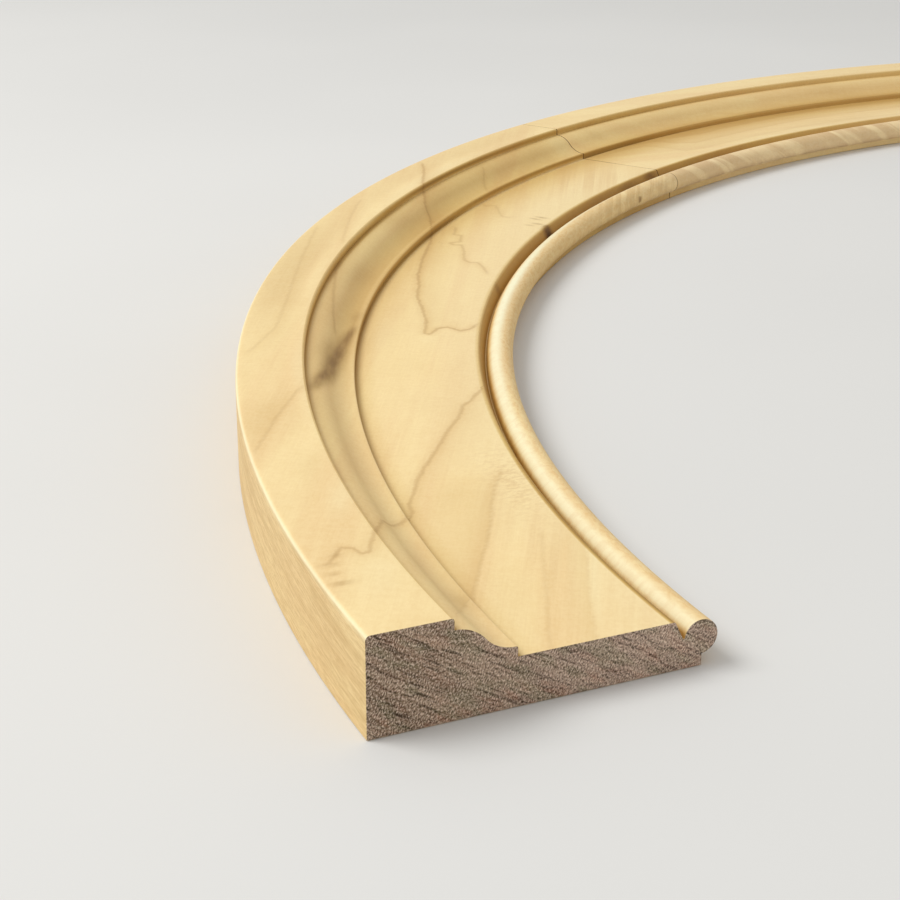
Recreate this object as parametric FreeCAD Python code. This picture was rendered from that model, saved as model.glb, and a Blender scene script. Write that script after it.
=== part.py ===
import FreeCAD, Part

# Half-round architrave moulding: the casing that trims the arched head of a door or window opening.
# Three equal curved segments, each moulded from one board, are glued end to end on radial butt joints.
# The arch lies on its back. +Z is the moulded face, +Y the crown and X the span between the two springing ends.
# The origin is at the middle of the footprint. Sizes are in millimetres and angles in degrees.
import math
import os

# The arch
opening_radius = 463.55  # arch centre to the innermost point of the bead
casing_width = 88.9  # outer edge to the innermost point of the bead
arch_angle = 180.0
segment_names = ["right_segment", "crown_segment", "left_segment"]

# The thick outer band
edge_thickness = 25.4
fascia_width = 20.9
fascia_step = 2.9  # drop from the fascia to the start of the ogee
outer_arris = 1.2
fascia_arris = 0.8

# The ogee and the fillet at its foot
ogee_width = 15.6
ogee_drop = 7.2
fillet_arris = 0.5

# The flat field
field_thickness = 12.7
field_arris = 0.8

# The bead, the groove that parts it from the field, and the rebate under it
bead_radius = 4.5
bead_sink = 0.7  # top of the bead below the field
groove_depth = 4.8
groove_floor = 0.4
groove_slope = 26.0  # lean of the groove's field side from upright
rebate_width = 4.1

outer_radius = opening_radius + casing_width
centre = FreeCAD.Vector(0.0, -outer_radius / 2.0, 0.0)
upright = FreeCAD.Vector(0.0, 0.0, 1.0)
segment_angle = arch_angle / len(segment_names)


def place(u, z):
    """A point of the section: u inwards from the outer edge, z up from the back, at the right springing end."""
    return FreeCAD.Vector(centre.x + outer_radius - u, centre.y, z)


def line(start, end):
    return Part.LineSegment(place(*start), place(*end)).toShape()


def arc(start, middle, end):
    return Part.Arc(place(*start), place(*middle), place(*end)).toShape()


def on_circle(middle, radius, angle):
    """A point of a circle in the section, with the angle turning from u towards z."""
    turn = math.radians(angle)
    return (middle[0] + radius * math.cos(turn), middle[1] + radius * math.sin(turn))


def rounded(before, corner, after, radius):
    """Start, middle and end of the arc that rounds the corner between two straight sides."""
    sides = []
    for other in (before, after):
        length = math.hypot(other[0] - corner[0], other[1] - corner[1])
        sides.append(((other[0] - corner[0]) / length, (other[1] - corner[1]) / length))
    half = math.acos(sides[0][0] * sides[1][0] + sides[0][1] * sides[1][1]) / 2.0
    reach = radius / math.tan(half)
    start = (corner[0] + reach * sides[0][0], corner[1] + reach * sides[0][1])
    end = (corner[0] + reach * sides[1][0], corner[1] + reach * sides[1][1])
    towards = (sides[0][0] + sides[1][0], sides[0][1] + sides[1][1])
    scale = (radius / math.sin(half) - radius) / math.hypot(*towards)
    middle = (corner[0] + scale * towards[0], corner[1] + scale * towards[1])
    return start, middle, end


def outer_band_edges():
    """Outer edge, fascia and the step down to the ogee. The last edge ends at the start of the ogee."""
    foot = (0.0, 0.0)
    top_outer = (0.0, edge_thickness)
    top_inner = (fascia_width, edge_thickness)
    step_foot = (fascia_width, edge_thickness - fascia_step)
    outer = rounded(foot, top_outer, top_inner, outer_arris)
    inner = rounded(top_outer, top_inner, step_foot, fascia_arris)
    return [
        line(foot, outer[0]),
        arc(*outer),
        line(outer[2], inner[0]),
        arc(*inner),
        line(inner[2], step_foot),
    ]


def ogee_edges():
    """Two equal arcs that meet with a common tangent, level at both ends, and the fillet below them."""
    top = (fascia_width, edge_thickness - fascia_step)
    foot = (top[0] + ogee_width, top[1] - ogee_drop)
    curve_end = (foot[0] - fillet_arris, foot[1])
    run = curve_end[0] - top[0]
    turn = 2.0 * math.atan2(ogee_drop, run)
    radius = run / 2.0 / math.sin(turn)
    crest = (top[0], top[1] - radius)
    hollow = (curve_end[0], curve_end[1] + radius)
    steepest = ((top[0] + curve_end[0]) / 2.0, (top[1] + curve_end[1]) / 2.0)
    half_turn = math.degrees(turn) / 2.0
    fillet_centre = (curve_end[0], foot[1] - fillet_arris)
    fillet_side = (foot[0], foot[1] - fillet_arris)
    return [
        arc(top, on_circle(crest, radius, 90.0 - half_turn), steepest),
        arc(steepest, on_circle(hollow, radius, 270.0 - half_turn), curve_end),
        arc(curve_end, on_circle(fillet_centre, fillet_arris, 45.0), fillet_side),
        line(fillet_side, (foot[0], field_thickness)),
    ]


def bead_centre():
    return (casing_width - bead_radius, field_thickness - bead_sink - bead_radius)


def field_and_groove_edges():
    """The flat field, its rounded lip and the groove, up to where the groove's floor meets the bead."""
    field_start = (fascia_width + ogee_width, field_thickness)
    floor_height = field_thickness - groove_depth
    middle = bead_centre()
    reach = math.sqrt(bead_radius**2 - (floor_height - middle[1]) ** 2)
    bead_start = (middle[0] - reach, floor_height)
    floor_start = (bead_start[0] - groove_floor, floor_height)
    lean = groove_depth * math.tan(math.radians(groove_slope))
    lip = (floor_start[0] - lean, field_thickness)
    lip_arc = rounded(field_start, lip, floor_start, field_arris)
    edges = [
        line(field_start, lip_arc[0]),
        arc(*lip_arc),
        line(lip_arc[2], floor_start),
        line(floor_start, bead_start),
    ]
    return edges, bead_start


def bead_and_back_edges(bead_start):
    """The bead over the top and down to the rebate, the rebate's wall, and the flat back."""
    middle = bead_centre()
    wall = casing_width - rebate_width
    shoulder = (wall, middle[1] - math.sqrt(bead_radius**2 - (wall - middle[0]) ** 2))
    far_side = on_circle(middle, bead_radius, 0.0)
    crown = on_circle(middle, bead_radius, 90.0)
    under = on_circle(middle, bead_radius, -45.0)
    back_inner = (wall, 0.0)
    return [
        arc(bead_start, on_circle(middle, bead_radius, 135.0), crown),
        arc(crown, on_circle(middle, bead_radius, 45.0), far_side),
        arc(far_side, under, shoulder),
        line(shoulder, back_inner),
        line(back_inner, (0.0, 0.0)),
    ]


def section_face():
    field_edges, bead_start = field_and_groove_edges()
    edges = outer_band_edges() + ogee_edges() + field_edges + bead_and_back_edges(bead_start)
    return Part.Face(Part.Wire(edges))


def segment(number):
    """One curved segment: the section turned about the arch centre, then carried round to its place."""
    solid = section_face().revolve(centre, upright, segment_angle)
    solid.rotate(centre, upright, number * segment_angle)
    return solid


os.makedirs("parts", exist_ok=True)
for number, name in enumerate(segment_names):
    piece = segment(number)
    piece.exportStep("parts/" + name + ".step")
    print(name, "valid", piece.isValid(), "volume cm3", round(piece.Volume / 1000.0, 1))
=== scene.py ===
import math

import bpy
import numpy as np
from mathutils import Matrix, Vector


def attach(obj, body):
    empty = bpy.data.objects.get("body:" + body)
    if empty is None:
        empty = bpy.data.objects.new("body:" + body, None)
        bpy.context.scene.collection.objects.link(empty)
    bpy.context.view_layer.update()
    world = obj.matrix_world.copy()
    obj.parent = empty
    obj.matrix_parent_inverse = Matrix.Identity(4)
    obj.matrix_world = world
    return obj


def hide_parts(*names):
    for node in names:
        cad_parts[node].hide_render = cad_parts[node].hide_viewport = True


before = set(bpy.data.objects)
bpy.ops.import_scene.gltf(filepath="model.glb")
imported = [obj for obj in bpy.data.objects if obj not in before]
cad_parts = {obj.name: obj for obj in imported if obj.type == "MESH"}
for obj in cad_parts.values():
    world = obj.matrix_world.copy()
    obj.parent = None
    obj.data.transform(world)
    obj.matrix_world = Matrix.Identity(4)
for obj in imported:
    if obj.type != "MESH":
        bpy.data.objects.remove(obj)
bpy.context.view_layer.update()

# Sizes in millimetres, the same as the CAD source's
MM = 0.001
BEAD_EDGE_RADIUS = 463.55
WIDTH = 88.9
EDGE_THICKNESS = 25.4
FASCIA_WIDTH = 20.9
FASCIA_STEP = 2.9
OUTER_ARRIS = 1.2
FASCIA_ARRIS = 0.8
OGEE_WIDTH = 15.6
OGEE_DROP = 7.2
FILLET_ARRIS = 0.5
FIELD_THICKNESS = 12.7
FIELD_ARRIS = 0.8
BEAD_RADIUS = 4.5
BEAD_SINK = 0.7
GROOVE_DEPTH = 4.8
GROOVE_FLOOR = 0.4
GROOVE_SLOPE = 26.0
REBATE = 4.1
OUTER_RADIUS = BEAD_EDGE_RADIUS + WIDTH
CENTRE_Y = -OUTER_RADIUS / 2.0
ARCH_ANGLE = 180.0
SEGMENT_ANGLE = ARCH_ANGLE / 3.0
FIELD_START = FASCIA_WIDTH + OGEE_WIDTH
FLOOR_Z = FIELD_THICKNESS - GROOVE_DEPTH
BEAD_U = WIDTH - BEAD_RADIUS
BEAD_Z = FIELD_THICKNESS - BEAD_SINK - BEAD_RADIUS
BEAD_START = BEAD_U - math.sqrt(BEAD_RADIUS**2 - (FLOOR_Z - BEAD_Z) ** 2)
GROOVE_LIP = BEAD_START - GROOVE_FLOOR - GROOVE_DEPTH * math.tan(math.radians(GROOVE_SLOPE))
WALL_U = WIDTH - REBATE

# The visual mesh, in mm and degrees
FACE_SPACING = 1.0
GROOVE_SPACING = 0.6
BACK_SPACING = 8.0
TURN_STEP = 12.0
SHARP_CORNER = 25.0
END_RING = 0.3  # from each end to the first ring of points inside it
JOINT_VEE = 0.16  # how far the arrises of a glued joint are worn in
NEAR = 0.01  # allowed when telling which face of the section a point is on


def srgb(r, g, b):
    """Linear colour of an 8-bit sRGB colour."""
    linear = []
    for v in (r, g, b):
        v = v / 255.0
        linear.append(v / 12.92 if v <= 0.04045 else ((v + 0.055) / 1.055) ** 2.4)
    return (*linear, 1.0)


# The section

def run(points, end, spacing):
    """Adds evenly spaced points after the last one, up to and with end."""
    start = points[-1]
    count = max(1, math.ceil(math.dist(start, end) / spacing))
    for k in range(1, count + 1):
        t = k / count
        points.append((start[0] + t * (end[0] - start[0]), start[1] + t * (end[1] - start[1])))


def bend(points, middle, radius, first, last):
    """Adds the points of an arc after its first one. Angles in degrees, from u towards z."""
    turned = abs(last - first)
    arc_length = math.radians(turned) * radius
    count = max(2, math.ceil(turned / TURN_STEP), math.ceil(arc_length / FACE_SPACING))
    for k in range(1, count + 1):
        a = math.radians(first + (last - first) * k / count)
        points.append((middle[0] + radius * math.cos(a), middle[1] + radius * math.sin(a)))


def section():
    """The moulding's outline as (u, z): u in from the outer edge, z up from the back. It isn't closed."""
    pts = [(0.0, 0.0)]
    run(pts, (0.0, EDGE_THICKNESS - OUTER_ARRIS), FACE_SPACING)
    bend(pts, (OUTER_ARRIS, EDGE_THICKNESS - OUTER_ARRIS), OUTER_ARRIS, 180.0, 90.0)
    run(pts, (FASCIA_WIDTH - FASCIA_ARRIS, EDGE_THICKNESS), FACE_SPACING)
    bend(pts, (FASCIA_WIDTH - FASCIA_ARRIS, EDGE_THICKNESS - FASCIA_ARRIS), FASCIA_ARRIS, 90.0, 0.0)
    top = (FASCIA_WIDTH, EDGE_THICKNESS - FASCIA_STEP)
    run(pts, top, FACE_SPACING)
    curve_end = (FIELD_START - FILLET_ARRIS, top[1] - OGEE_DROP)
    reach = curve_end[0] - top[0]
    turn = 2.0 * math.atan2(OGEE_DROP, reach)
    radius = reach / 2.0 / math.sin(turn)
    bend(pts, (top[0], top[1] - radius), radius, 90.0, 90.0 - math.degrees(turn))
    bend(pts, (curve_end[0], curve_end[1] + radius), radius, 270.0 - math.degrees(turn), 270.0)
    bend(pts, (curve_end[0], curve_end[1] - FILLET_ARRIS), FILLET_ARRIS, 90.0, 0.0)
    run(pts, (FIELD_START, FIELD_THICKNESS), FACE_SPACING)
    lip_reach = FIELD_ARRIS * math.tan(math.radians((90.0 - GROOVE_SLOPE) / 2.0))
    run(pts, (GROOVE_LIP - lip_reach, FIELD_THICKNESS), FACE_SPACING)
    bend(pts, (GROOVE_LIP - lip_reach, FIELD_THICKNESS - FIELD_ARRIS), FIELD_ARRIS, 90.0, GROOVE_SLOPE)
    run(pts, (BEAD_START - GROOVE_FLOOR, FLOOR_Z), GROOVE_SPACING)
    run(pts, (BEAD_START, FLOOR_Z), FACE_SPACING)
    bead_turn = 180.0 - math.degrees(math.asin((FLOOR_Z - BEAD_Z) / BEAD_RADIUS))
    shoulder_turn = -math.degrees(math.acos((WALL_U - BEAD_U) / BEAD_RADIUS))
    bend(pts, (BEAD_U, BEAD_Z), BEAD_RADIUS, bead_turn, 0.0)
    bend(pts, (BEAD_U, BEAD_Z), BEAD_RADIUS, 0.0, shoulder_turn)
    run(pts, (WALL_U, 0.0), FACE_SPACING)
    run(pts, (0.0, 0.0), BACK_SPACING)
    return np.array(pts[:-1])


SECTION = section()


def surface_height(u):
    """Height of the face above the back, as far as the bead's top, for a u that isn't on an upright wall."""
    lowest = FLOOR_Z + 0.1  # leaves out the groove's floor and the back
    face = [(a, z) for a, z in SECTION if z > lowest and a <= BEAD_U]
    return float(np.interp(u, *zip(*face)))


# Marks in the timber. Each point is (degrees round from the left springing end, mm in from the outer edge).
# tone darkens the wood on one side of the line and fades over reach mm.
# side is +1 to the right of travel and -1 to the left.
RING_LINES = {
    "tall_loop": dict(strength=0.9, side=-1, tone=0.5, reach=9.0, points=[
        (49.6, 2.0), (49.2, 5.0), (48.0, 11.0), (45.6, 19.9), (45.2, 22.0), (44.0, 26.6), (43.2, 31.6),
        (41.8, 36.5), (40.2, 40.2), (38.4, 42.3), (36.7, 44.7), (35.3, 46.4), (33.7, 49.5), (31.8, 51.5),
        (30.6, 54.4), (29.6, 56.5), (28.4, 58.0), (26.9, 58.4), (26.8, 60.3), (27.6, 62.7), (27.8, 66.1),
        (27.3, 70.5), (27.6, 73.8), (28.6, 77.0)]),
    "upper_squiggle": dict(strength=0.6, side=1, tone=0.25, reach=8.0, points=[
        (43.7, 39.4), (43.4, 42.3), (42.2, 45.2), (42.1, 48.6), (41.0, 51.2), (40.7, 47.4), (40.4, 49.6),
        (40.5, 53.0), (39.7, 55.6), (38.0, 59.6), (37.6, 62.5), (37.7, 65.2), (37.0, 68.8), (35.6, 73.5)]),
    "far_hook": dict(strength=0.4, side=1, tone=0.2, reach=8.0, points=[
        (48.5, 37.0), (47.9, 40.9), (48.2, 44.6), (47.0, 50.7), (46.3, 54.1), (46.2, 57.1), (46.6, 60.9)]),
    "near_river": dict(strength=0.8, side=-1, tone=0.3, reach=9.0, points=[
        (21.1, 78.5), (19.9, 75.3), (18.9, 71.9), (18.4, 68.9), (17.2, 66.3), (16.2, 62.5), (14.3, 56.1),
        (12.7, 49.7), (11.6, 45.7), (10.7, 43.1), (10.0, 40.6), (9.3, 39.6), (8.3, 35.9), (8.2, 35.1),
        (7.6, 30.8), (7.1, 26.8), (6.1, 22.5), (5.4, 20.4), (4.9, 18.4), (4.2, 15.2), (4.2, 13.7),
        (4.6, 12.3), (4.7, 9.9), (4.4, 8.0), (3.9, 4.6), (3.8, 0.7)]),
    "near_stripe": dict(strength=0.22, side=-1, tone=0.15, reach=4.0, points=[
        (7.4, 69.9), (6.7, 67.9), (5.0, 62.9), (3.2, 56.9), (1.0, 48.4), (-1.5, 39.0)]),
    "near_stripe_edge": dict(strength=0.1, side=1, tone=0.5, reach=5.0, points=[
        (9.0, 82.0), (6.0, 77.5), (4.6, 73.6), (2.15, 64.6), (0.5, 58.5), (-2.0, 49.0)]),
    "near_border": dict(strength=0.36, side=1, tone=0.75, reach=15.0, points=[
        (12.4, 71.9), (11.6, 69.5), (10.6, 65.5), (9.1, 61.2), (7.9, 57.6), (6.8, 53.9), (5.8, 49.3),
        (4.5, 43.8), (4.0, 41.1), (3.3, 38.3), (2.0, 30.7), (0.5, 23.2)]),
    "streak_tail": dict(strength=0.4, side=1, tone=0.4, reach=9.0, points=[
        (17.2, 20.5), (16.2, 16.7), (14.0, 9.4), (12.6, 5.1), (11.3, 0.6)]),
    "fascia_sweep": dict(strength=0.3, side=-1, tone=0.25, reach=7.0, points=[
        (37.1, 2.5), (34.1, 6.3), (31.4, 8.9), (27.7, 11.4), (24.9, 11.7), (23.1, 10.8), (21.8, 7.4),
        (20.2, 2.7)]),
    "fascia_hair": dict(strength=0.3, side=1, tone=0.2, reach=7.0, points=[
        (42.0, 5.5), (40.2, 8.5), (38.5, 11.6), (36.2, 15.7), (34.2, 19.2)]),
    "ogee_hair": dict(strength=0.6, side=1, tone=0.15, reach=6.0, points=[
        (33.0, 21.4), (31.9, 21.6), (29.7, 24.1), (28.0, 25.9), (26.5, 27.4), (25.4, 28.8), (24.5, 29.7)]),
    "top_ogee_hair": dict(strength=0.45, side=1, tone=0.1, reach=6.0, points=[
        (51.8, 21.7), (51.2, 26.6), (50.4, 30.3), (49.8, 33.9), (49.4, 36.2)]),
    "crown_flame_inner": dict(strength=0.15, side=-1, tone=0.45, reach=6.0, points=[
        (60.6, 40.1), (61.5, 40.4), (63.3, 41.8), (64.9, 44.1), (65.3, 54.4), (65.4, 65.9), (66.8, 69.2),
        (69.3, 69.7), (72.3, 69.4), (76.1, 69.2), (82.0, 70.5)]),
    "crown_flame_middle": dict(strength=0.15, side=-1, tone=0.7, reach=7.0, points=[
        (62.4, 39.4), (65.0, 38.5), (66.4, 41.8), (66.7, 51.1), (67.6, 58.5), (70.0, 58.6), (73.9, 57.7),
        (77.8, 56.3), (84.0, 57.5), (90.0, 57.0)]),
    "crown_flame_outer": dict(strength=0.15, side=-1, tone=0.9, reach=9.0, points=[
        (66.6, 37.6), (67.9, 43.8), (69.8, 46.7), (73.7, 45.7), (77.5, 44.1), (81.1, 42.3), (88.0, 43.5),
        (99.0, 47.0)]),
    "crown_far_line": dict(strength=0.5, side=-1, tone=0.4, reach=9.0, points=[
        (101.7, 77.0), (100.1, 70.4), (100.4, 63.4), (103.6, 58.4), (107.7, 52.3), (109.7, 45.3),
        (112.7, 39.3), (114.7, 30.2), (117.7, 21.3), (119.7, 12.4)]),
    "right_loop": dict(strength=0.7, side=1, tone=0.5, reach=9.0, points=[
        (131.8, 3.5), (133.8, 12.6), (137.3, 20.3), (139.8, 30.2), (141.9, 38.1), (145.9, 44.1),
        (148.9, 52.0), (149.4, 59.9), (145.9, 65.9), (144.4, 71.9), (141.9, 77.2)]),
    "right_river": dict(strength=0.6, side=-1, tone=0.5, reach=9.0, points=[
        (172.4, 77.1), (170.9, 68.6), (167.9, 59.7), (166.4, 51.8), (162.9, 44.0), (160.9, 38.0),
        (158.9, 30.2), (157.4, 21.5), (153.9, 14.8), (152.9, 8.9), (149.8, 2.1)]),
}
LINE_FADE = 6.0  # mm over which a ring line fades in at its ends
TONE_FADE = 22.0  # mm over which the tone beside it does
LINE_REACH = 6.0  # mm, past any place where a ring line shows
JOINT_REACH = 20.0  # mm, past any place where a joint shows
MIDDLE_U = 50.0  # mm in, where degrees are turned into mm to tell a line's two sides apart
MARKS_LOW = 3.0  # mm above the back, under which no lines, stains or tones are drawn

# Soft spots are (degrees, mm in, half length in mm, half width in mm, turn in degrees, level).
# The turn is from the arc's run towards the inner side.

# Dark stains: the mineral streak in the ogee, the knot at the groove and its whiskers, and small flecks
STAINS = [
    (27.8, 34.6, 8.0, 2.0, 6.0, 0.2),
    (25.9, 33.9, 7.0, 1.3, 6.0, 0.6),
    (24.6, 32.6, 8.0, 1.8, 6.0, 0.7),
    (23.2, 31.3, 8.0, 2.0, 6.0, 0.7),
    (21.7, 29.9, 9.0, 2.2, 7.0, 0.75),
    (20.3, 28.3, 8.0, 2.1, 9.0, 0.68),
    (19.2, 26.3, 7.0, 1.9, 14.0, 0.66),
    (18.2, 24.3, 6.0, 1.6, 17.0, 0.45),
    (22.4, 28.2, 14.0, 3.4, 6.0, 0.2),
    (18.3, 23.8, 10.0, 2.0, 10.0, 0.1),
    (45.1, 79.0, 3.6, 1.9, 10.0, 1.5),
    (45.3, 76.8, 1.8, 0.9, 20.0, 0.6),
    (45.5, 72.4, 0.8, 2.6, 14.0, 0.45),
    (45.1, 70.2, 0.8, 1.8, 14.0, 0.3),
    (46.8, 70.6, 0.8, 2.6, 14.0, 0.5),
    (46.4, 69.0, 0.7, 2.4, 14.0, 0.42),
    (34.5, 78.4, 3.4, 1.2, 0.0, 0.35),
    (59.1, 78.0, 5.0, 1.8, 0.0, 0.6),
    (56.5, 78.5, 9.0, 1.2, 0.0, 0.3),
    (55.3, 88.9, 1.3, 0.2, 0.0, 1.2),
    (56.2, 35.9, 1.3, 0.4, 0.0, 0.3),
    (2.7, 34.0, 5.0, 2.6, 0.0, 0.12),
    (4.3, 7.4, 1.0, 1.6, 0.0, 0.16),
    (3.8, 5.2, 0.9, 1.8, 0.0, 0.18),
    (3.3, 4.0, 0.9, 1.8, 0.0, 0.22),
    (2.75, 4.3, 1.0, 2.6, 0.0, 0.34),
]

# Broad tones: darker where the level is over 0, paler where it is under. Partly the wood's own tone, partly
# painted shade and painted light, as on the darker ogee and fascia and the paler field.
TONES = [
    (32.4, 28.4, 16.0, 3.6, 8.0, 0.45),
    (40.3, 25.2, 15.0, 3.2, 8.0, 0.4),
    (56.6, 29.0, 14.0, 7.0, 0.0, 0.18),
    (59.1, 29.0, 7.0, 9.0, 0.0, -0.8),
    (51.0, 66.0, 80.0, 13.0, 0.0, -0.4),
    (47.5, 16.5, 70.0, 3.5, 0.0, -0.7),
    (23.0, 58.0, 22.0, 9.0, 0.0, 0.3),
    (26.5, 44.0, 20.0, 4.0, 0.0, -0.35),
    (18.5, 19.0, 34.0, 2.6, 0.0, -0.5),
    (30.5, 17.0, 40.0, 3.0, 0.0, -0.5),
    (30.0, 7.0, 60.0, 9.0, 0.0, 0.65),
    (56.2, 35.9, 2.6, 1.2, 0.0, -0.7),
    (14.5, 8.0, 22.0, 5.0, 20.0, 0.25),
    (10.3, 14.0, 9.0, 4.0, 20.0, 0.25),
    (7.9, 18.0, 12.0, 3.5, 20.0, -0.6),
    (3.0, 14.0, 14.0, 6.0, 20.0, -0.5),
    (10.6, 55.0, 16.0, 6.0, 25.0, 0.35),
    (3.4, 70.6, 24.0, 1.2, 24.0, -0.5),
    (5.2, 69.5, 20.0, 1.0, 24.0, 0.3),
    (3.5, 50.0, 34.0, 11.0, 27.0, 0.3),
    (27.3, 59.6, 4.0, 2.2, 0.0, 0.4),
    (45.0, 10.0, 260.0, 12.0, 0.0, 0.3),
    (56.0, 10.0, 70.0, 12.0, 0.0, 0.2),
    (76.0, 6.0, 110.0, 5.0, 3.0, -0.3),
    (68.0, 10.0, 75.0, 9.0, 0.0, -0.5),
    (70.0, 28.0, 14.0, 4.0, 20.0, 0.12),
    (62.3, 86.0, 12.0, 5.0, 0.0, 0.5),
    (66.0, 64.0, 60.0, 14.0, 0.0, 0.55),
    (84.0, 62.0, 120.0, 16.0, 0.0, 0.25),
    (76.5, 27.0, 16.0, 4.0, 160.0, -0.3),
    (84.0, 29.0, 18.0, 4.0, 20.0, 0.3),
    (62.5, 27.0, 8.0, 3.5, 30.0, 0.35),
]

# Where straight stripes show
STRIPED = [
    (5.0, 66.0, 34.0, 10.0, 0.0, 0.6),
    (55.5, 62.0, 30.0, 20.0, 0.0, 1.0),
    (55.0, 86.0, 50.0, 5.0, 0.0, 1.0),
    (90.0, 60.0, 220.0, 40.0, 0.0, 0.55),
    (150.0, 55.0, 90.0, 18.0, 0.0, 0.6),
]

# Where the face shows a pebbly curl, and where the bead shows slanting waves
PEBBLED = [
    (11.0, 72.0, 24.0, 8.0, 0.0, 1.0),
    (105.0, 66.0, 30.0, 9.0, 0.0, 0.8),
    (160.0, 60.0, 30.0, 10.0, 0.0, 0.8),
]
WAVED = [
    (64.0, 86.0, 40.0, 6.0, 0.0, 0.5),
    (80.0, 86.0, 170.0, 6.0, 0.0, 1.0),
    (130.0, 86.0, 60.0, 6.0, 0.0, 0.6),
]


def curve(x, *points):
    """Value at x on straight runs between (place, value) points, level past both ends."""
    places, values = zip(*points)
    return np.interp(x, places, values)


def arc_points(angle, u, z):
    """Points of the model, in mm, for angles from the left springing end."""
    turn = np.radians(ARCH_ANGLE - angle)
    radius = OUTER_RADIUS - u
    return np.stack([radius * np.cos(turn), CENTRE_Y + radius * np.sin(turn), z + 0.0 * turn], axis=-1)


def nearest_ring(points, angle, u):
    """Signed mm to the nearest ring line, its strength there, and the tone that all the lines lend."""
    best = np.full(len(points), 1e9)
    signed = np.full(len(points), LINE_REACH)
    strength = np.zeros(len(points))
    tone = np.zeros(len(points))
    mm_per_degree = math.radians(1.0) * (OUTER_RADIUS - MIDDLE_U)
    for line in RING_LINES.values():
        marks = np.array(line["points"])
        places = np.array([arc_points(np.array(a), np.array(v), surface_height(v)) for a, v in marks])
        lengths = np.linalg.norm(np.diff(places, axis=0), axis=1)
        ran = np.concatenate([[0.0], np.cumsum(lengths)])
        near = np.full(len(points), 1e9)
        lent = np.zeros(len(points))
        for k in range(len(marks) - 1):
            stretch = places[k + 1] - places[k]
            share = np.clip((points - places[k]) @ stretch / lengths[k] ** 2, 0.0, 1.0)
            away = np.linalg.norm(points - (places[k] + share[:, None] * stretch), axis=1)
            # The side is judged on the developed face: along the arc and across it
            along, across = (marks[k + 1] - marks[k]) * (mm_per_degree, 1.0)
            side = np.sign(along * (u - marks[k][1]) - across * (angle - marks[k][0]) * mm_per_degree)
            here = ran[k] + share * lengths[k]
            from_end = np.minimum(here, ran[-1] - here)
            closer = away < near
            near[closer] = away[closer]
            level = line["tone"] * np.clip(from_end / TONE_FADE, 0.0, 1.0)
            lent[closer] = (level * (side == line["side"]))[closer]
            closer = away < best
            best[closer] = away[closer]
            signed[closer] = (away * side)[closer]
            strength[closer] = (line["strength"] * np.clip(from_end / LINE_FADE, 0.0, 1.0))[closer]
        tone = np.maximum(tone, lent * np.exp(-((near / line["reach"]) ** 1.5)))
    strength *= curve(best, (LINE_REACH - 3.0, 1.0), (LINE_REACH - 1.0, 0.0))
    return np.clip(signed, -LINE_REACH, LINE_REACH), strength, tone


def blotches(angle, u, spots):
    """Sum of soft ellipses on the developed face."""
    total = np.zeros(len(angle))
    for middle, across, length, width, lean, level in spots:
        turn = math.radians(lean)
        du = u - across
        ds = np.radians(angle - middle) * (OUTER_RADIUS - across)
        a = (ds * math.cos(turn) + du * math.sin(turn)) / length
        b = (-ds * math.sin(turn) + du * math.cos(turn)) / width
        total += level * np.exp(-(a * a + b * b))
    return total


def on_bead(u, z):
    return (u >= BEAD_START - NEAR) & (np.hypot(u - BEAD_U, z - BEAD_Z) < BEAD_RADIUS + 2.0 * NEAR)


def painted_field_light(u, z):
    """Painted light: how much paler the field is towards its inner part, where more light falls."""
    on_field = (u < GROOVE_LIP) & (z > FIELD_THICKNESS - 0.1)
    return curve(u, (44.0, 0.0), (62.0, 0.3), (GROOVE_LIP, 0.6)) * on_field


def painted_highlight_and_gloss(angle, u, z):
    """Painted highlight, up to 1 on the outer arris and the bead's top, paler and smoother than the rest."""
    on_arris = z > EDGE_THICKNESS - OUTER_ARRIS - NEAR
    arris = curve(u, (0.0, 0.15), (0.15, 0.68), (0.45, 0.42), (0.8, 0.0)) * on_arris
    from_end = np.minimum(angle, ARCH_ANGLE - angle)
    turn = np.degrees(np.arctan2(z - BEAD_Z, u - BEAD_U))
    # The painted highlight's band round the bead turns with the angle round the arch, as the light's
    # reflection does
    best = curve(from_end, (10.0, 129.0), (22.0, 118.0), (30.0, 108.0), (38.0, 104.0), (50.0, 118.0))
    level = curve(from_end, (6.0, 0.62), (28.0, 0.9), (36.0, 1.05), (44.0, 0.8), (54.0, 0.42), (64.0, 0.2))
    spread = curve(from_end, (36.0, 1.0), (48.0, 0.6))
    band = curve((turn - best) / spread, (-40.0, 0.0), (-12.0, 1.0), (12.0, 1.0), (30.0, 0.0))
    return np.where(on_bead(u, z), np.minimum(level * band, 1.0), arris)


# Painted shade: how shut in the hollows are, and where less light falls. Places on the section are in mm,
# and keys are degrees round the arch.

def blended(angle, x, places, profiles):
    """Level off profiles over x. Each holds at the angle that is its key, and they blend in between."""
    at = list(profiles)
    total = np.zeros(len(angle))
    for own, levels in zip(np.eye(len(at)), profiles.values()):
        total += np.interp(angle, at, own) * np.interp(x, places, levels)
    return total


def step_shade(angle, z, crown):
    """From the foot of the step up to the fascia."""
    level = blended(angle, z - (EDGE_THICKNESS - FASCIA_STEP), (0.0, 0.4, 0.9, 1.6, 2.0, 2.4, 2.85), {
        38.0: (1.3, 1.2, 0.9, 0.6, 0.5, 0.4, 0.3),
        46.0: (0.3, 0.7, 1.5, 1.95, 1.5, 0.9, 0.3),
        49.0: (0.3, 0.7, 1.5, 1.95, 1.5, 0.9, 0.3),
        54.0: (0.3, 0.8, 1.35, 1.5, 1.0, 0.65, 0.35),
        60.0: (0.6, 0.9, 1.2, 1.2, 0.95, 0.75, 0.4),
        62.0: (1.35, 1.4, 1.4, 1.2, 1.0, 0.85, 0.4),
    })
    return level * (1.0 - 0.72 * crown)


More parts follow.
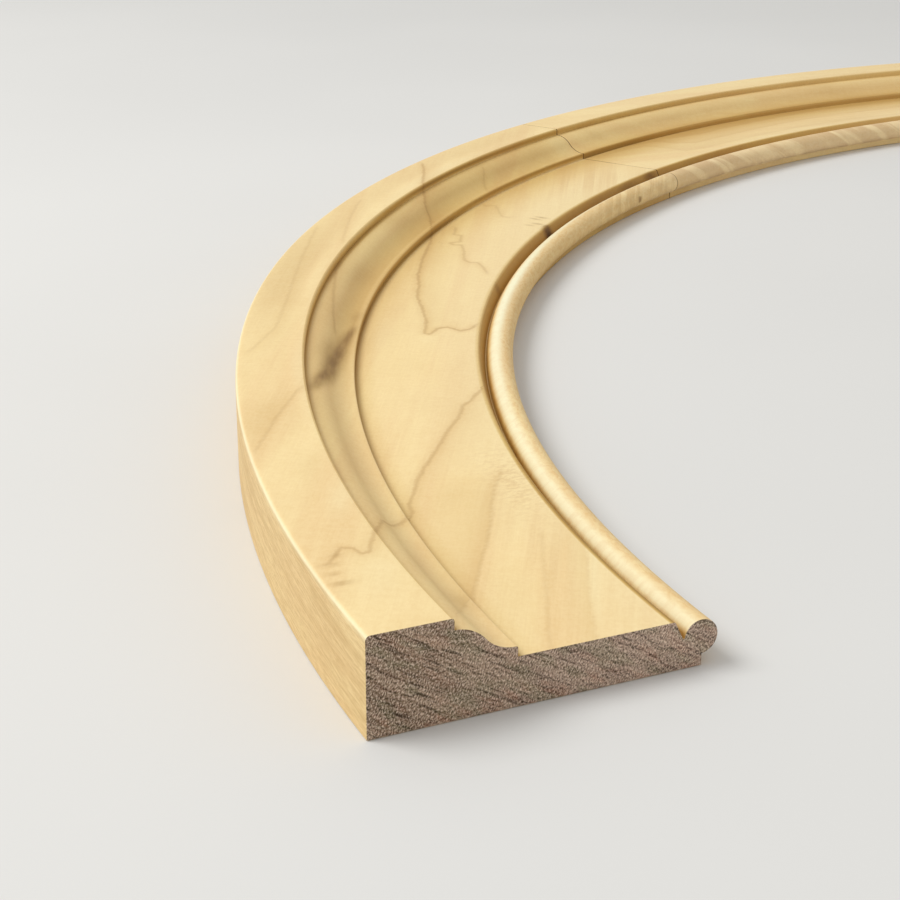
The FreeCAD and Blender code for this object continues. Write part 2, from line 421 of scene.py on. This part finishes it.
def ogee_shade(angle, u, crown):
    """From the foot of the step down the ogee to the fillet."""
    down = u - FASCIA_WIDTH
    level = blended(angle, down, (0.0, 0.2, 0.5, 0.8, 1.1, 1.6, 2.5, 9.0, 15.0), {
        28.0: (1.7, 1.6, 1.15, 0.42, 0.2, 0.22, 0.22, 0.16, 0.12),
        36.0: (1.2, 1.5, 1.8, 1.4, 0.8, 0.4, 0.24, 0.16, 0.12),
        44.0: (0.6, 0.5, 0.4, 0.38, 0.36, 0.3, 0.24, 0.16, 0.12),
    })
    level *= 1.0 - 0.5 * crown
    inward = curve(angle, (20.0, 0.0), (45.0, 1.0))  # how far the arch has turned its inner side to the eye
    level += inward * curve(down, (0.0, 0.0), (5.1, 0.06), (9.1, 0.08), (14.4, 0.2), (15.3, 0.85))
    level += curve(angle, (38.0, 0.0), (46.0, 0.16), (56.0, 0.14), (60.0, 0.0)) * (down < 14.4)
    level += crown * curve(down, (0.0, 0.4), (0.8, 0.3), (1.6, 0.0), (8.1, 0.0), (12.1, 0.12), (14.4, 0.4),
                           (15.3, 0.0))
    lower = curve(angle, (18.0, 0.0), (28.0, 1.0), (42.0, 1.0), (48.0, 0.3), (60.0, 0.3))
    level += lower * curve(down, (6.5, 0.0), (10.0, 0.28), (13.5, 0.32), (14.7, 0.0))
    return level * curve(angle, (1.0, 0.5), (14.0, 1.0))


def fillet_shade(angle, z, crown):
    """From the field up the fillet."""
    level = blended(angle, z - FIELD_THICKNESS, (0.0, 0.6, 1.2, 1.8, 2.5), {
        44.0: (1.3, 1.7, 1.3, 1.0, 0.9),
        48.0: (0.4, 0.85, 1.4, 1.45, 1.2),
        57.0: (0.2, 0.6, 1.2, 1.35, 1.2),
        59.9: (0.2, 0.6, 1.2, 1.35, 1.2),
        60.1: (1.9, 2.0, 2.0, 1.8, 1.4),
        64.0: (1.9, 2.0, 2.0, 1.8, 1.4),
        70.0: (1.3, 1.5, 1.5, 1.1, 0.5),
    })
    return level * (1.0 - 0.5 * crown)


def field_shade(angle, u, crown):
    """Over the field. The shade reaches further where the outer band stands before the light."""
    off = u - FIELD_START
    short = curve(off, (0.0, 1.7), (0.4, 1.1), (0.8, 0.5), (1.5, 0.3), (3.0, 0.15), (7.0, 0.0))
    short *= curve(angle, (0.0, 0.4), (6.0, 1.0))
    far = curve(off, (0.0, 0.5), (0.5, 0.2), (1.0, 0.15), (2.0, 0.5), (3.0, 0.62), (5.0, 0.58), (10.0, 0.34),
                (18.0, 0.1), (26.0, 0.0))
    far += crown * curve(off, (0.0, 0.2), (0.5, 0.45), (1.0, 0.5), (3.0, 0.2), (5.0, 0.15), (8.0, 0.15),
                         (12.0, 0.1), (16.0, 0.0))
    share = curve(angle, (20.0, 0.0), (60.0, 1.0), (120.0, 1.0), (160.0, 0.0))
    return short + share * (far - short)


def slope_shade(angle, u, z):
    """Over the groove's lip and down its leaning side."""
    over_lip = blended(angle, u - GROOVE_LIP, (-1.3, -1.0, -0.75, -0.5, -0.2, 0.3), {
        10.0: (0.0, 0.5, 1.1, 1.5, 1.5, 1.2),
        22.0: (0.0, 0.1, 0.4, 0.65, 0.95, 1.4),
    })
    over_lip *= curve(angle, (8.0, 1.0), (30.0, 0.4), (45.0, 0.6), (60.0, 0.9))
    down = curve(FIELD_THICKNESS - z, (0.3, 0.0), (0.8, 1.25), (2.3, 1.5))
    turned = curve(angle, (12.0, 1.0), (30.0, 0.8), (44.0, 0.9), (52.0, 1.0), (64.0, 0.95), (72.0, 0.75),
                   (86.0, 0.3), (94.0, 0.3), (110.0, 0.8))
    return np.maximum(over_lip, down) * turned


def bead_shade(angle, u, z):
    """On the bead: deep by the groove, soft under its inner side."""
    reach = curve(angle, (22.0, 1.0), (32.0, 0.75))
    by_groove = curve((z - FLOOR_Z) / reach, (0.0, 1.5), (0.9, 1.1), (1.8, 0.55), (2.8, 0.15), (3.6, 0.0))
    by_groove *= curve(angle, (8.0, 0.75), (20.0, 1.0))
    under = curve(z - BEAD_Z, (-5.0, 0.75), (-1.5, 0.55), (0.5, 0.36), (3.0, 0.16), (4.4, 0.0))
    under *= curve(angle, (40.0, 1.0), (52.0, 0.45), (70.0, 0.0), (110.0, 0.0), (128.0, 0.45), (140.0, 1.0))
    return np.where(u < BEAD_U, by_groove, under)


def painted_shade(angle, u, z):
    """Painted shade by how shut in each point is: 0 on the open face, 1 or more in the corners, where shade
    falls.
    """
    # crown is 1 along the middle of the crown segment and 0 on the other two
    crown = curve(angle, (59.9, 0.0), (60.1, 0.45), (80.0, 1.0), (100.0, 1.0), (119.9, 0.45), (120.1, 0.0))
    level = np.zeros(len(angle))
    on_step = (u > FASCIA_WIDTH - FASCIA_ARRIS) & (u < FASCIA_WIDTH + NEAR)
    level = np.where(on_step, step_shade(angle, z, crown), level)
    on_ogee = (u >= FASCIA_WIDTH + NEAR) & (u < FIELD_START)
    level = np.where(on_ogee, ogee_shade(angle, u, crown), level)
    on_fillet = np.abs(u - FIELD_START) < NEAR
    level = np.where(on_fillet, fillet_shade(angle, z, crown), level)
    on_field = (u > FIELD_START + NEAR) & (u < GROOVE_LIP)
    level = np.where(on_field, field_shade(angle, u, crown), level)
    floor_start = BEAD_START - GROOVE_FLOOR - NEAR
    on_slope = (u > GROOVE_LIP - 1.3) & (u < floor_start) & (z > FLOOR_Z - NEAR)
    level = np.where(on_slope, np.maximum(level, slope_shade(angle, u, z)), level)
    on_floor = (u > floor_start) & (u < BEAD_START - NEAR) & (z < FLOOR_Z + NEAR)
    level = np.where(on_floor, 0.0, level)
    bead = on_bead(u, z)
    level = np.where(bead, bead_shade(angle, u, z), level)
    on_rebate = (u > WALL_U - NEAR) & ~bead
    return np.where(on_rebate, curve(angle, (56.0, 0.7), (66.0, 0.1)), level)


# The three glued segments

def linked(name, data):
    """A new object in the scene."""
    obj = bpy.data.objects.new(name, data)
    bpy.context.scene.collection.objects.link(obj)
    return obj


def ring_angles(first, last, count):
    """Angles of the rings of points: one at each end, and count evenly spaced ones between."""
    inset = math.degrees(END_RING / OUTER_RADIUS)
    inside = np.linspace(first + inset, last - inset, count)
    return np.concatenate([[first], inside, [last]])


def section_sides():
    """Directions of the outline into and out of each point of the section."""
    before = SECTION - np.roll(SECTION, 1, axis=0)
    after = np.roll(SECTION, -1, axis=0) - SECTION
    before /= np.linalg.norm(before, axis=1)[:, None]
    after /= np.linalg.norm(after, axis=1)[:, None]
    return before, after


def worn_section():
    """The section at a glued joint, with its arrises worn in all round but on the back."""
    before, after = section_sides()
    lean = before + after
    lean /= np.linalg.norm(lean, axis=1)[:, None]
    outward = np.stack([-lean[:, 1], lean[:, 0]], axis=1)
    off_back = (SECTION[:, 1] > NEAR)[:, None]
    return SECTION - JOINT_VEE * outward * off_back


def swept_mesh(name, points, rings):
    """Faces from ring to ring along the segment, and one on each end."""
    n = len(SECTION)
    faces = []
    for k in range(rings - 1):
        for j in range(n):
            after = (j + 1) % n
            faces.append((k * n + j, k * n + after, (k + 1) * n + after, (k + 1) * n + j))
    faces.append(tuple(range(n - 1, -1, -1)))
    faces.append(tuple(range((rings - 1) * n, rings * n)))
    mesh = bpy.data.meshes.new(name)
    mesh.from_pydata((points * MM).tolist(), [], faces)
    mesh.update()
    return mesh


def mark_sharp(mesh, rings):
    """Smooth over the fine steps, sharp at the section's corners and round both ends."""
    n = len(SECTION)
    mesh.polygons.foreach_set("use_smooth", [True] * len(mesh.polygons))
    before, after = section_sides()
    turn = np.arctan2(before[:, 0] * after[:, 1] - before[:, 1] * after[:, 0], (before * after).sum(axis=1))
    corner = np.abs(np.degrees(turn)) > SHARP_CORNER
    ends = np.zeros(len(mesh.edges) * 2, np.int64)
    mesh.edges.foreach_get("vertices", ends)
    ends = ends.reshape(-1, 2)
    lengthwise = (ends[:, 0] % n == ends[:, 1] % n) & corner[ends[:, 0] % n]
    end_loop = (ends[:, 0] // n == ends[:, 1] // n) & np.isin(ends[:, 0] // n, (0, rings - 1))
    sharp = mesh.attributes.new("sharp_edge", "BOOLEAN", "EDGE")
    sharp.data.foreach_set("value", lengthwise | end_loop)


def add_board(mesh, points, first, seed):
    """The board's own axes: along its grain, across it and through it, shifted to its own timber."""
    middle = math.radians(ARCH_ANGLE - first - SEGMENT_ANGLE / 2.0)
    grain = np.array([math.sin(middle), -math.cos(middle), 0.0])
    across = np.array([math.cos(middle), math.sin(middle), 0.0])
    shift = np.random.default_rng(seed).uniform(50.0, 900.0)
    cross_shift = 500.0
    board = np.stack([points @ grain + shift, points @ across - cross_shift, points[:, 2]], axis=1)
    layer = mesh.attributes.new("board", "FLOAT_VECTOR", "POINT")
    layer.data.foreach_set("vector", board.astype(np.float32).ravel())


def distance_to_joints(angle, u, joints):
    """Mm along the arch to the nearest of the joints, which are given by their angles."""
    nearest = np.full(len(angle), JOINT_REACH)
    for joint in joints:
        nearest = np.minimum(nearest, np.abs(np.radians(angle - joint)) * (OUTER_RADIUS - u))
    return nearest


def add_marks(mesh, points, angle, u, z, joints, number):
    """The values that the timber reads at each point."""
    section_u = np.tile(SECTION[:, 0], len(angle) // len(SECTION))  # u before the joints' wear
    distance, strength, tone = nearest_ring(points, angle, section_u)
    front = z > MARKS_LOW
    # The tones carry the wood's own tone and painted shade and light, less the painted light on the field
    tones = blotches(angle, section_u, TONES) * front - painted_field_light(section_u, z)
    bead = on_bead(section_u, z)
    values = {
        "ring_distance": distance,
        "ring_strength": strength * front,
        "ring_tone": tone * front,
        "stain": blotches(angle, section_u, STAINS) * front,
        "darker": np.clip(tones, 0.0, 1.0),
        "paler": np.clip(-tones, 0.0, 1.0),
        "striped": np.clip(blotches(angle, section_u, STRIPED), 0.0, 1.0),
        "pebbled": blotches(angle, section_u, PEBBLED) * front,
        "bead": bead,
        "waved": np.clip(blotches(angle, section_u, WAVED), 0.0, 1.0) * bead,
        "painted_shade": painted_shade(angle, section_u, z),
        "painted_highlight_and_gloss": painted_highlight_and_gloss(angle, section_u, z),
        "along": np.radians(angle) * OUTER_RADIUS,
        "section_u": u,
        "section_z": z,
        "to_joint": distance_to_joints(angle, u, joints),
        "board_number": np.full(len(angle), number),
    }
    for name, numbers in values.items():
        layer = mesh.attributes.new(name, "FLOAT", "POINT")
        layer.data.foreach_set("value", np.asarray(numbers, np.float32))


def make_segment(name, number, count, seed):
    """One segment as a fine mesh with count rings of points between its ends. Number 0 has the left end."""
    first = number * SEGMENT_ANGLE
    last = first + SEGMENT_ANGLE
    joints = [edge for edge in (first, last) if 0.0 < edge < ARCH_ANGLE]
    angles = ring_angles(first, last, count)
    rings = len(angles)
    outline = np.repeat(SECTION[None], rings, axis=0)
    for ring, edge in ((0, first), (rings - 1, last)):
        if edge in joints:
            outline[ring] = worn_section()
    angle = np.repeat(angles, len(SECTION))
    u = outline[:, :, 0].ravel()
    z = outline[:, :, 1].ravel()
    points = arc_points(angle, u, z)
    mesh = swept_mesh(name, points, rings)
    obj = linked(name, mesh)
    mark_sharp(mesh, rings)
    add_board(mesh, points, first, seed)
    add_marks(mesh, points, angle, u, z, joints, number)
    slots = np.zeros(len(mesh.polygons), np.int32)
    slots[-2:] = 1
    mesh.materials.append(face_timber)
    mesh.materials.append(end_grain)
    mesh.polygons.foreach_set("material_index", slots)
    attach(obj, "root")
    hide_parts(name)


# Materials

HOLLOW_TINT = (0.62, 0.49, 0.25)  # what the bounces between timber faces do to the light, at a hollow of 1
CORE_TINT = (0.5, 0.48, 0.45)  # the same past CORE_LEVEL, where little light comes back at all
CORE_LEVEL = 1.15
STAIN_TINT = (0.37, 0.29, 0.20)


class Nodes:
    """Short calls for building a node tree."""

    def __init__(self, name):
        self.material = bpy.data.materials.new(name)
        self.material.use_nodes = True
        self.tree = self.material.node_tree
        self.shader = self.tree.nodes["Principled BSDF"]

    def put(self, kind, **values):
        node = self.tree.nodes.new(kind)
        for key, value in values.items():
            setattr(node, key, value)
        return node

    def feed(self, socket, value):
        if isinstance(value, bpy.types.NodeSocket):
            self.tree.links.new(value, socket)
        else:
            socket.default_value = value

    def value(self, name):
        return self.put("ShaderNodeAttribute", attribute_name=name).outputs["Fac"]

    def vector(self, name):
        return self.put("ShaderNodeAttribute", attribute_name=name).outputs["Vector"]

    def math(self, operation, a, b=0.0, clamp=False):
        node = self.put("ShaderNodeMath", operation=operation, use_clamp=clamp)
        self.feed(node.inputs[0], a)
        self.feed(node.inputs[1], b)
        return node.outputs[0]

    def times(self, a, b):
        return self.math("MULTIPLY", a, b)

    def scaled(self, vector, x, y, z, turn=(0.0, 0.0, 0.0)):
        """The vector turned, then scaled, so that features get 1/x, 1/y and 1/z mm long."""
        turned = self.put("ShaderNodeVectorRotate", rotation_type="EULER_XYZ")
        self.feed(turned.inputs["Vector"], vector)
        turned.inputs["Rotation"].default_value = [math.radians(t) for t in turn]
        node = self.put("ShaderNodeVectorMath", operation="MULTIPLY")
        self.feed(node.inputs[0], turned.outputs[0])
        node.inputs[1].default_value = (x, y, z)
        return node.outputs[0]

    def noise(self, vector, detail=2.0, rough=0.5, distort=0.0):
        """Noise about 0.5."""
        node = self.put("ShaderNodeTexNoise")
        self.feed(node.inputs["Vector"], vector)
        node.inputs["Scale"].default_value = 1.0
        node.inputs["Detail"].default_value = detail
        node.inputs["Roughness"].default_value = rough
        node.inputs["Distortion"].default_value = distort
        return node.outputs["Fac"]

    def remap(self, value, low, high, to_low=0.0, to_high=1.0, smooth=True):
        node = self.put("ShaderNodeMapRange", interpolation_type="SMOOTHSTEP" if smooth else "LINEAR")
        self.feed(node.inputs["Value"], value)
        node.inputs["From Min"].default_value = low
        node.inputs["From Max"].default_value = high
        node.inputs["To Min"].default_value = to_low
        node.inputs["To Max"].default_value = to_high
        return node.outputs["Result"]

    def mix(self, factor, a, b, blend="MIX"):
        node = self.put("ShaderNodeMix", data_type="RGBA", blend_type=blend)
        self.feed(node.inputs["Factor"], factor)
        self.feed(node.inputs["A"], a)
        self.feed(node.inputs["B"], b)
        return node.outputs["Result"]

    def over(self, colour, amount, share, tone):
        """The colour with a share of the tone laid over it where amount is 1."""
        return self.mix(self.times(amount, share), colour, tone)

    def joined(self, x, y, z):
        node = self.put("ShaderNodeCombineXYZ")
        for socket, value in zip(node.inputs, (x, y, z)):
            self.feed(socket, value)
        return node.outputs[0]

    def tinted(self, colour, tint, level):
        """The colour times the tint to the power of level."""
        join = self.put("ShaderNodeCombineColor")
        for socket, share in zip(join.inputs, tint):
            self.feed(socket, self.math("POWER", share, level))
        return self.mix(1.0, colour, join.outputs[0], blend="MULTIPLY")

    def bump(self, height, strength, distance):
        node = self.put("ShaderNodeBump")
        node.inputs["Strength"].default_value = strength
        node.inputs["Distance"].default_value = distance
        self.feed(node.inputs["Height"], height)
        return node.outputs["Normal"]

    def finish(self, colour, roughness, normal, specular=0.3):
        self.feed(self.shader.inputs["Base Color"], colour)
        self.feed(self.shader.inputs["Roughness"], roughness)
        self.feed(self.shader.inputs["Normal"], normal)
        self.shader.inputs["Specular IOR Level"].default_value = specular
        return self.material


def plain_board(n, board):
    """Broad bands and mottle, with the darker and paler tones, which carry painted shade and painted light
    too.
    """
    bands = n.noise(n.scaled(board, 0.004, 0.06, 0.1), detail=3.0, distort=0.6)
    cloud = n.noise(n.scaled(board, 0.02, 0.05, 0.05), detail=3.0)
    colour = n.mix(n.remap(bands, 0.36, 0.66), srgb(254, 228, 168), srgb(247, 215, 156))
    colour = n.over(colour, n.remap(cloud, 0.45, 0.75), 0.4, srgb(237, 203, 143))
    colour = n.over(colour, n.value("darker"), 0.6, srgb(214, 180, 117))
    return n.over(colour, n.value("paler"), 0.6, srgb(255, 239, 189))


def straight_stripes(n, colour, board, bead):
    """Stripes where the board is cut across its rings, and closer ones across the bead near a joint."""
    striped = n.value("striped")
    stripe = n.noise(n.scaled(board, 0.004, 0.3, 0.5), detail=4.0, rough=0.6, distort=0.2)
    colour = n.over(colour, n.times(striped, n.remap(stripe, 0.42, 0.62)), 0.45, srgb(226, 188, 128))
    close = n.noise(n.scaled(board, 0.01, 0.45, 0.03), detail=4.0, rough=0.65)
    on_it = n.times(striped, bead)
    colour = n.over(colour, on_it, 0.5, srgb(250, 222, 158))
    return n.over(colour, n.times(on_it, n.remap(close, 0.46, 0.56)), 0.55, srgb(202, 160, 92))


def bead_waves(n, colour, face):
    """Slanting waves on the bead."""
    waved = n.value("waved")
    wave = n.noise(n.scaled(face, 0.012, 0.13, 7.0, turn=(0, 0, 28)), detail=3.0, rough=0.55, distort=0.4)
    colour = n.over(colour, waved, 0.8, srgb(252, 226, 178))
    return n.over(colour, n.times(waved, n.remap(wave, 0.42, 0.56)), 0.65, srgb(208, 168, 118))


def fine_grain(n, colour, board, curl):
    """Fine fibres along the grain, faint ripples across it, sanded grain and the pebbly curl."""
    dark = srgb(200, 160, 105)
    light = srgb(255, 243, 210)
    fibre = n.noise(n.scaled(board, 0.04, 1.6, 1.6), detail=5.0, rough=0.7, distort=0.3)
    ripple = n.noise(n.scaled(board, 0.5, 0.14, 0.14), detail=4.0, rough=0.7, distort=0.6)
    sanded = n.noise(n.scaled(board, 0.7, 1.0, 1.0), detail=3.0, rough=0.7)
    colour = n.mix(0.07, colour, n.mix(n.remap(fibre, 0.3, 0.7), dark, light))
    colour = n.mix(0.04, colour, n.mix(n.remap(ripple, 0.35, 0.65), dark, light))
    colour = n.mix(0.06, colour, n.mix(n.remap(sanded, 0.35, 0.65), dark, light))
    pebbles = n.times(n.value("pebbled"), n.remap(curl, 0.42, 0.62))
    return n.over(colour, pebbles, 0.35, srgb(214, 176, 120)), fibre, ripple


def side_streaks(n, colour, face):
    """Close streaks along the arch on its outer side."""
    side = n.remap(n.value("section_u"), 0.0, 0.3, 1.0, 0.0)
    streak = n.noise(n.scaled(face, 0.13, 1.8, 7.0, turn=(0, 0, -2)), detail=6.0, rough=0.8, distort=0.4)
    drift = n.noise(n.scaled(face, 0.012, 0.25, 7.0, turn=(0, 0, -2)), detail=3.0, distort=0.8)
    colour = n.over(colour, side, 0.4, srgb(229, 197, 138))
    colour = n.over(colour, n.times(side, n.remap(streak, 0.42, 0.6)), 0.5, srgb(198, 160, 100))
    return n.over(colour, n.times(side, n.remap(drift, 0.42, 0.62)), 0.35, srgb(200, 162, 100))


def ring_marks(n, colour, board):
    """The ring lines, thin and a little jagged, with a halo and a darker side, and then the stains."""
    wander = n.noise(n.scaled(board, 0.2, 0.2, 0.2), detail=3.0, rough=0.6)
    jagged = n.noise(n.scaled(board, 0.9, 0.9, 0.9), detail=2.0)
    distance = n.math("ADD", n.value("ring_distance"), n.times(n.math("SUBTRACT", wander, 0.5), 1.4))
    distance = n.math("ADD", distance, n.times(n.math("SUBTRACT", jagged, 0.5), 0.9))
    off = n.math("ABSOLUTE", distance)
    strength = n.value("ring_strength")
    colour = n.over(colour, n.value("ring_tone"), 0.5, srgb(220, 184, 120))
    colour = n.over(colour, n.times(n.remap(off, 0.0, 3.4, 1.0, 0.0), strength), 0.24, srgb(206, 164, 98))
    colour = n.over(colour, n.times(n.remap(off, 0.0, 1.1, 1.0, 0.0), strength), 0.36, srgb(170, 124, 66))
    soft = n.remap(n.noise(n.scaled(board, 0.08, 0.5, 0.5), detail=3.0), 0.25, 0.75, 0.75, 1.15)
    return n.tinted(colour, STAIN_TINT, n.times(n.value("stain"), soft))


def make_face_timber():
    """Sanded poplar along the grain: pale, with soft growth bands, fine fibres and a few ring lines."""
    n = Nodes("poplar_face")
    board = n.vector("board")
    bead = n.value("bead")
    along = n.value("along")
    height = n.value("section_z")
    number = n.value("board_number")
    face = n.joined(along, height, number)
    colour = plain_board(n, board)
    colour = straight_stripes(n, colour, board, bead)
    colour = bead_waves(n, colour, face)

    # Golden mottle round the bead, where it has no waves
    round_bead = n.joined(along, n.math("SUBTRACT", n.value("section_u"), height), number)
    mottle = n.noise(n.scaled(round_bead, 0.22, 0.5, 7.0), detail=5.0, rough=0.7, distort=0.8)
    unwaved = n.math("SUBTRACT", bead, n.value("waved"), clamp=True)
    colour = n.over(colour, n.times(unwaved, n.remap(mottle, 0.4, 0.64)), 0.6, srgb(234, 188, 114))

    curl = n.noise(n.scaled(board, 0.4, 0.7, 0.5, turn=(0, 0, 55)), detail=3.0, rough=0.65)
    colour, fibre, ripple = fine_grain(n, colour, board, curl)
    colour = side_streaks(n, colour, face)
    colour = ring_marks(n, colour, board)

    # Painted shade in the hollows, a painted highlight on the arris and bead, and the glue line
    shade_level = n.value("painted_shade")
    colour = n.tinted(colour, HOLLOW_TINT, n.math("MINIMUM", shade_level, CORE_LEVEL))
    past = n.math("SUBTRACT", n.math("MAXIMUM", shade_level, CORE_LEVEL), CORE_LEVEL)
    colour = n.tinted(colour, CORE_TINT, past)
    # smooth carries the painted highlight on the arris and bead, and their smoother finish
    smooth = n.value("painted_highlight_and_gloss")
    colour = n.mix(n.times(smooth, n.remap(mottle, 0.35, 0.65, 0.95, 0.8)), colour, srgb(255, 253, 218))
    joint = n.remap(n.value("to_joint"), 0.12, 0.42, 1.0, 0.0)
    colour = n.mix(n.times(joint, n.remap(shade_level, 0.0, 0.3, 0.55, 0.95)), colour, srgb(78, 40, 8))

    relief = n.math("ADD", n.times(fibre, 0.5), n.times(ripple, 0.3))
    relief = n.math("ADD", relief, n.times(n.times(curl, n.value("pebbled")), 1.5))
    normal = n.bump(relief, 0.25, 0.0001)
    roughness = n.math("SUBTRACT", n.remap(fibre, 0.3, 0.7, 0.52, 0.62), n.times(smooth, 0.14))
    return n.finish(colour, roughness, normal)


def make_end_grain():
    """Saw-cut end grain: grey-brown, speckled with open pores, with darker growth bands across it."""
    n = Nodes("poplar_end_grain")
    low = n.value("section_z")
    face = n.joined(n.value("section_u"), low, n.value("board_number"))
    ring_turn = (0, 0, 31)

    # Growth bands: broad dark ones and thin lines between them
    broad = n.noise(n.scaled(face, 0.03, 0.16, 9.0, turn=ring_turn), detail=2.0, distort=0.3)
    colour = n.mix(n.remap(broad, 0.35, 0.65), srgb(182, 155, 131), srgb(142, 116, 95))
    lines = n.noise(n.scaled(face, 0.09, 1.0, 9.0, turn=ring_turn), detail=3.0, rough=0.65, distort=0.15)
    torn = n.remap(lines, 0.53, 0.62)
    colour = n.over(colour, torn, 0.6, srgb(84, 68, 56))

    # Deeper by the outer side, pinkish towards the bead, with reddish and greenish heartwood patches
    outer = n.remap(n.value("section_u"), 0.0, 12.0, 0.22, 0.0)
    colour = n.mix(outer, colour, srgb(96, 76, 60))
    inner = n.remap(n.value("section_u"), 12.0, 60.0)
    colour = n.over(colour, inner, 0.5, srgb(202, 174, 158))
    warm = n.noise(n.scaled(face, 0.09, 0.3, 9.0, turn=ring_turn), detail=3.0)
    near_back = n.remap(low, 1.0, 8.0, 1.0, 0.35)
    colour = n.over(colour, n.times(n.remap(warm, 0.48, 0.68), near_back), 0.6, srgb(188, 134, 108))
    green = n.noise(n.scaled(face, 0.08, 0.2, 5.0, turn=ring_turn), detail=2.0)
    colour = n.over(colour, n.remap(green, 0.48, 0.62), 0.42, srgb(126, 124, 92))

    # Torn fibres and pores
    speckle = n.noise(n.scaled(face, 1.5, 3.3, 9.0, turn=(0, 0, -60)), detail=2.0, rough=0.8)
    lit = n.math("SUBTRACT", speckle, n.times(torn, 0.05))
    dark = n.remap(lit, 0.38, 0.49, 1.0, 0.0, smooth=False)
    pale = n.remap(lit, 0.52, 0.62, smooth=False)
    colour = n.over(colour, dark, 0.88, srgb(44, 35, 28))
    colour = n.over(colour, pale, 0.8, srgb(248, 228, 206))
    normal = n.bump(speckle, 0.4, 0.0002)
    return n.finish(colour, 0.85, normal, specular=0.15)


face_timber = make_face_timber()
end_grain = make_end_grain()
make_segment("left_segment", 0, 520, seed=11)
make_segment("crown_segment", 1, 300, seed=23)
make_segment("right_segment", 2, 300, seed=37)


# Floor, light and camera

def make_floor():
    n = Nodes("pale_floor")
    place = n.put("ShaderNodeTexCoord").outputs["Object"]
    soft = n.noise(n.scaled(place, 3.0, 3.0, 3.0), detail=2.0)
    colour = n.mix(n.remap(soft, 0.3, 0.7), srgb(226, 226, 225), srgb(229, 229, 228))
    normal = n.bump(soft, 0.02, 0.0005)
    material = n.finish(colour, 0.9, normal, specular=0.1)
    half = 9.0  # in metres
    corners = [(-half, -half, 0.0), (half, -half, 0.0), (half, half, 0.0), (-half, half, 0.0)]
    mesh = bpy.data.meshes.new("floor")
    mesh.from_pydata(corners, [], [(0, 1, 2, 3)])
    mesh.materials.append(material)
    floor = linked("floor", mesh)
    floor.location.z = -0.2 * MM  # a hair under the part's back


def make_lights():
    world = bpy.data.worlds.new("studio")
    bpy.context.scene.world = world
    world.use_nodes = True
    background = world.node_tree.nodes["Background"]
    background.inputs["Color"].default_value = srgb(255, 254, 251)
    background.inputs["Strength"].default_value = 0.6
    light = bpy.data.lights.new("key", "AREA")
    light.shape = "DISK"
    light.size = 1.3
    away = 2.2  # in metres, from the cut end
    brightness = 0.58
    light.energy = brightness * (math.pi * away) ** 2
    light.color = (1.0, 0.985, 0.955)
    key = linked("key", light)
    towards = Vector((-0.56, 0.28, 0.78)).normalized()
    near_end = Vector((-0.5, -0.22, 0.02))
    key.location = near_end + away * towards
    key.rotation_mode = "QUATERNION"
    key.rotation_quaternion = towards.to_track_quat("Z", "Y")


def make_camera():
    """The photograph's own viewpoint, found by fitting the moulding's edges."""
    heading = math.radians(24.507)
    down = math.radians(21.493)
    roll = math.radians(0.163)
    place = Vector((-677.9, CENTRE_Y - 318.4, 202.6)) * MM
    focal_pixels = 1803.4
    picture_pixels = 900.0
    sensor = 36.0
    level = math.cos(down)
    forward = Vector((math.sin(heading) * level, math.cos(heading) * level, -math.sin(down)))
    right = Vector((math.cos(heading), -math.sin(heading), 0.0))
    up = right.cross(forward)
    right_rolled = math.cos(roll) * right + math.sin(roll) * up
    up_rolled = math.cos(roll) * up - math.sin(roll) * right
    data = bpy.data.cameras.new("photo_view")
    data.sensor_width = sensor
    data.lens = focal_pixels / picture_pixels * sensor
    data.clip_start = 0.02
    data.clip_end = 60.0
    camera = linked("photo_view", data)
    turn = Matrix((right_rolled, up_rolled, -forward)).transposed().to_4x4()
    turn.translation = place
    camera.matrix_world = turn
    bpy.context.scene.camera = camera


make_floor()
make_lights()
make_camera()
bpy.context.scene.view_settings.view_transform = "Standard"
